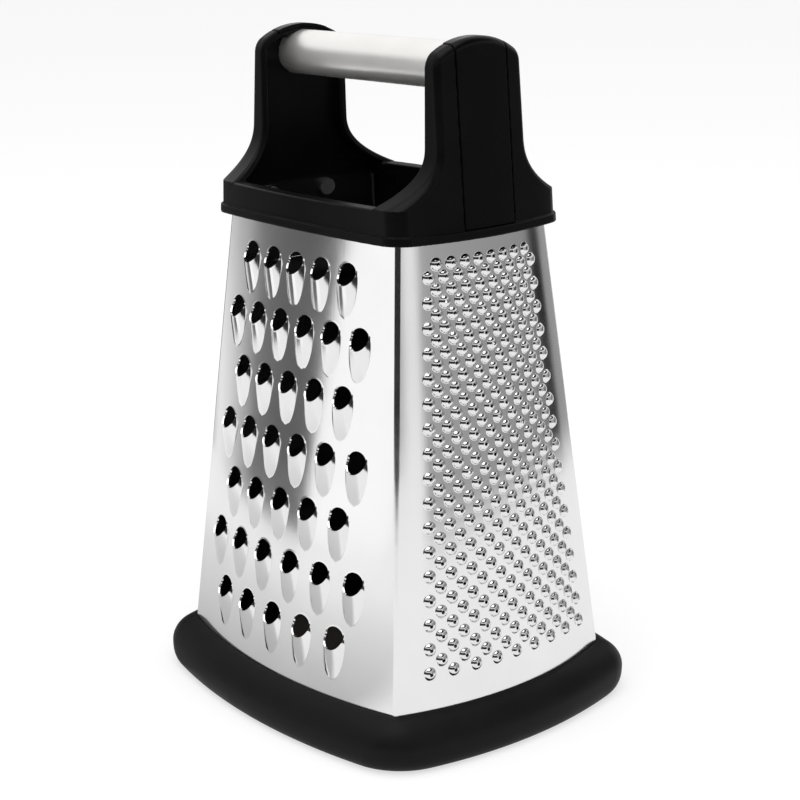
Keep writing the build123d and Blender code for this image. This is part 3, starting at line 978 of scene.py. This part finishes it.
SOFT_TOP = [(0.0, 1), (0.3, 1), (0.42, 0)]
SOFTBOX_TURNS = [(-129, 1.2, 0), (-127, 1.2, 1), (-105, 1.2, 1), (-102, 1.2, 0)]
LEFT_TURNS = [
    (-162, 0.5, 0),
    (-154, 0.45, 0.8),
    (-148, 0.2, 1),
    (-140, 0.14, 1),
    (-129, 0.13, 1),
    (-127.5, 0.13, 0),
]
RIGHT_TURNS = [
    (1, 0.6, 0),
    (4, 0.42, 1),
    (30, 0.36, 1),
    (62, 0.3, 1),
    (64, 0.02, 1),
    (70, 0.02, 1),
    (71.5, 0.36, 1),
    (84, 0.4, 1),
    (88, 0.4, 0),
]
FRONT_TURNS = [(-104, 0.03, 0), (-100, 0.03, 1), (-8, 0.03, 1), (0, 0.1, 0)]
BACK_TURNS = [(96, 0.08, 0), (104, 0.08, 1), (190, 0.08, 1), (197, 0.2, 0)]
FLOOR_TURNS = [(-204, 0), (-192, 1), (-84, 1), (-72, 0)]
# Painted shade: in gloss the floor darkens towards the object, from 0.97 far out to 0.52 close in.
FLOOR_SHADE_RINGS = [(0.085, 0.52, 1), (0.13, 0.62, 1), (0.19, 0.76, 1), (0.26, 0.88, 1), (0.34, 0.97, 0)]
HIGH_TURNS = [(-85, 0.05, 1), (85, 0.05, 1)]
card("card_softbox", 0.46, SOFTBOX_TURNS, SOFT_TOP)
card("card_left", 0.45, LEFT_TURNS, SOFT_TOP)
card("card_right", 0.47, RIGHT_TURNS, [(0.0, 0.0), (0.03, 1), (0.3, 1), (0.42, 0)])
card("card_back", 0.48, BACK_TURNS, [(0.0, 1), (0.28, 1), (0.34, 0)])
floor_card("card_shade_on_floor", FLOOR_TURNS, FLOOR_SHADE_RINGS)
card("card_front", 1.1, FRONT_TURNS, [(0.0, 1), (0.55, 1), (0.8, 0)])
card("card_high", 0.9, HIGH_TURNS, [(0.75, 0), (0.9, 1), (2.2, 1)])


def area_lamp(name, place, target, width, height, power):
    data = bpy.data.lights.new(name, "AREA")
    data.shape = "RECTANGLE"
    data.size = width
    data.size_y = height
    data.energy = power
    lamp = bpy.data.objects.new(name, data)
    lamp.location = place
    direction = Vector(target) - Vector(place)
    lamp.rotation_mode = "QUATERNION"
    lamp.rotation_quaternion = direction.to_track_quat("-Z", "Y")
    scene.collection.objects.link(lamp)
    return lamp


area_lamp("lamp_top", (0.2, -0.3, 1.6), (0, 0, 0.1), 1.4, 1.4, 12)


# Materials

def object_noise(tree, scale, detail=3.0, stretch=(1, 1, 1)):
    """Noise in the object's own metres; scale is in lumps per metre."""
    place = add(tree, "ShaderNodeTexCoord")
    mapping = add(tree, "ShaderNodeMapping")
    mapping.inputs["Scale"].default_value = stretch
    noise = add(tree, "ShaderNodeTexNoise", Scale=scale, Detail=detail)
    tree.links.new(place.outputs["Object"], mapping.inputs["Vector"])
    tree.links.new(mapping.outputs[0], noise.inputs["Vector"])
    return noise.outputs["Fac"]


def ranged(tree, value, low, high):
    node = add(tree, "ShaderNodeMapRange")
    node.inputs["From Min"].default_value = 0.3
    node.inputs["From Max"].default_value = 0.7
    node.inputs["To Min"].default_value = low
    node.inputs["To Max"].default_value = high
    tree.links.new(value, node.inputs["Value"])
    return node.outputs[0]


def bumped(tree, layers):
    """Bump nodes in a row; each layer is a height, its strength and its depth."""
    normal = None
    for height, strength, depth in layers:
        bump = add(tree, "ShaderNodeBump", Strength=strength, Distance=depth)
        tree.links.new(height, bump.inputs["Height"])
        if normal is not None:
            tree.links.new(normal, bump.inputs["Normal"])
        normal = bump.outputs[0]
    return normal


def tinted(tree, value, dark, light):
    """A colour between two greys, driven by a value."""
    ramp = add(tree, "ShaderNodeValToRGB")
    ramp.color_ramp.elements[0].position = 0.3
    ramp.color_ramp.elements[0].color = (*dark, 1)
    ramp.color_ramp.elements[1].position = 0.7
    ramp.color_ramp.elements[1].color = (*light, 1)
    tree.links.new(value, ramp.inputs[0])
    return ramp.outputs[0]


def metal(name, dark, light, rough, brush, brush_strength, wave_strength, metallic=1.0):
    """Sheet or tube steel: rolling marks, faint smudges and slow waves."""
    material = bpy.data.materials.new(name)
    tree = node_tree(material)
    output = add(tree, "ShaderNodeOutputMaterial")
    shader = add(tree, "ShaderNodeBsdfPrincipled", Metallic=metallic)
    smudge = object_noise(tree, 45, 4.0)
    lines = object_noise(tree, 900, 3.0, brush)
    waves = object_noise(tree, 70, 1.0)
    tree.links.new(tinted(tree, smudge, dark, light), shader.inputs["Base Color"])
    tree.links.new(ranged(tree, smudge, *rough), shader.inputs["Roughness"])
    layers = [(waves, wave_strength, 0.0006), (lines, brush_strength, 0.00004)]
    tree.links.new(bumped(tree, layers), shader.inputs["Normal"])
    tree.links.new(shader.outputs[0], output.inputs[0])
    return material


steel = metal(
    "steel_polished", (0.76, 0.76, 0.76), (0.8, 0.8, 0.8), (0.1, 0.15), (1, 1, 0.04), 0.08, 0.06
)
# Painted shade: the inner skin is the same steel as the outside, darkened to near black as shade inside
# the body.
inner_steel_shade = metal(
    "inner_steel_painted_shade", (0.06, 0.06, 0.06), (0.08, 0.08, 0.08), (0.25, 0.35), (1, 1, 0.04), 0.1, 0.06
)
tube_steel = metal(
    "steel_brushed", (0.84, 0.83, 0.81), (0.9, 0.89, 0.87), (0.3, 0.38), (0.02, 1, 1), 0.3, 0.0, 0.82
)
screw_steel = metal(
    "steel_zinc", (0.74, 0.74, 0.74), (0.82, 0.82, 0.82), (0.2, 0.3), (1, 1, 1), 0.2, 0.02
)


def moulded_black(name, dark, light, rough, gloss, grain_scale, grain):
    """Moulded plastic or rubber with a fine grain and uneven sheen."""
    material = bpy.data.materials.new(name)
    tree = node_tree(material)
    output = add(tree, "ShaderNodeOutputMaterial")
    shader = add(tree, "ShaderNodeBsdfPrincipled")
    shader.inputs["Specular IOR Level"].default_value = gloss
    cloud = object_noise(tree, 60, 3.0)
    grit = object_noise(tree, grain_scale, 2.0)
    tree.links.new(tinted(tree, cloud, dark, light), shader.inputs["Base Color"])
    tree.links.new(ranged(tree, cloud, *rough), shader.inputs["Roughness"])
    tree.links.new(bumped(tree, [(grit, grain, 0.00005)]), shader.inputs["Normal"])
    tree.links.new(shader.outputs[0], output.inputs[0])
    return material


frame_plastic = moulded_black(
    "plastic_satin",
    (0.0025, 0.0025, 0.0028),
    (0.0035, 0.0035, 0.0038),
    (0.28, 0.36),
    0.08,
    2600,
    0.25,
)
cover_plastic = moulded_black(
    "plastic_gloss", (0.0022, 0.0022, 0.0025), (0.003, 0.003, 0.0033), (0.22, 0.28), 0.08, 2600, 0.12
)
ring_rubber = moulded_black(
    "rubber_matte", (0.005, 0.005, 0.005), (0.007, 0.007, 0.007), (0.44, 0.54), 0.11, 1800, 0.35
)


def paint(obj, material):
    obj.data.materials.clear()
    obj.data.materials.append(material)


LOOKS = {
    "base_ring": ring_rubber,
    "base_hoop": frame_plastic,
    "handle_frame": frame_plastic,
    "cover_left": cover_plastic,
    "cover_right": cover_plastic,
    "handle_tube": tube_steel,
    "tube_plug_left": frame_plastic,
    "tube_plug_right": frame_plastic,
    "tube_screws": screw_steel,
    "collar_screws": screw_steel,
}
for node_name, look in LOOKS.items():
    paint(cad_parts[node_name], look)


# The four steel panels

COARSE = tooth_feature(5.25, 3.2, 16.5, 4.4, 3.8, 4.4, 64)
FINE = tooth_feature(3.3, 1.9, 7.5, 2.6, 2.1, 2.1, 28)
BURR = burr_feature(5.1, 1.7, 1.3, 7, 20)
SLOT = slot_feature(54.0, 1.0, 2.8, 9.0, 8, 120)

PANELS = {
    "panel_coarse": (
        0,
        row_places((5, 6, 5, 6, 5, 6, 5), 172.3, 21.86, (14.54, 17.14), (-2.22, -0.14)),
        COARSE,
    ),
    "panel_zester": (
        1,
        row_places([8 + r % 2 for r in range(34)], 177.15, 4.397, (5.9, 9.37), (-1.08, 0.24)),
        BURR,
    ),
    "panel_fine": (
        2,
        row_places([6 + r % 2 for r in range(10)], 172.9, 15.0, (10.6, 13.2), (0, 0)),
        FINE,
    ),
    "panel_slicer": (3, [(0.0, 160.0 - 37.0 * i) for i in range(4)], SLOT),
}
for node_name, (side, places, feature) in PANELS.items():
    sheet = steel_panel(node_name + "_sheet", side, places, feature)
    # Slot 0 is the outer skin; slot 1, the inner skin, takes the dark painted-shade steel.
    sheet.data.materials.append(steel)
    sheet.data.materials.append(inner_steel_shade)
    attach(sheet, "root")
    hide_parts(node_name)


def dress(obj, material, slot, *nodes):
    paint(obj, material)
    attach(obj, "root")
    if nodes:
        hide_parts(*nodes)


ring = base_ring()
dress(ring, ring_rubber, "ring", "base_ring")

handle = moulded("handle_frame_body", frame_field, (-62.25, -44.25, 183.75), (62.25, 44.25, 255.2), 0.5)
dress(handle, frame_plastic, "frame", "handle_frame")

cover_right = moulded("cover_right_strip", cover_field, (45, -13, 187.0), (61, 13, 255), 0.35)
dress(cover_right, cover_plastic, "cover", "cover_right")
cover_left = moulded(
    "cover_left_strip", lambda x, y, z: cover_field(-x, y, z), (-61, -13, 187.0), (-45, 13, 255), 0.35
)
dress(cover_left, cover_plastic, "cover", "cover_left")

tube_profile = [
    (-TUBE_END, TUBE_RADIUS),
    (-TUBE_END / 3, TUBE_RADIUS),
    (TUBE_END / 3, TUBE_RADIUS),
    (TUBE_END, TUBE_RADIUS),
    (TUBE_END, TUBE_RADIUS - TUBE_WALL),
    (-TUBE_END, TUBE_RADIUS - TUBE_WALL),
]
tube = lathe_x("handle_tube_body", tube_profile, 128, TUBE_LEVEL)
dress(tube, tube_steel, "tube", "handle_tube")


scene.view_settings.view_transform = "Standard"
bpy.context.view_layer.update()
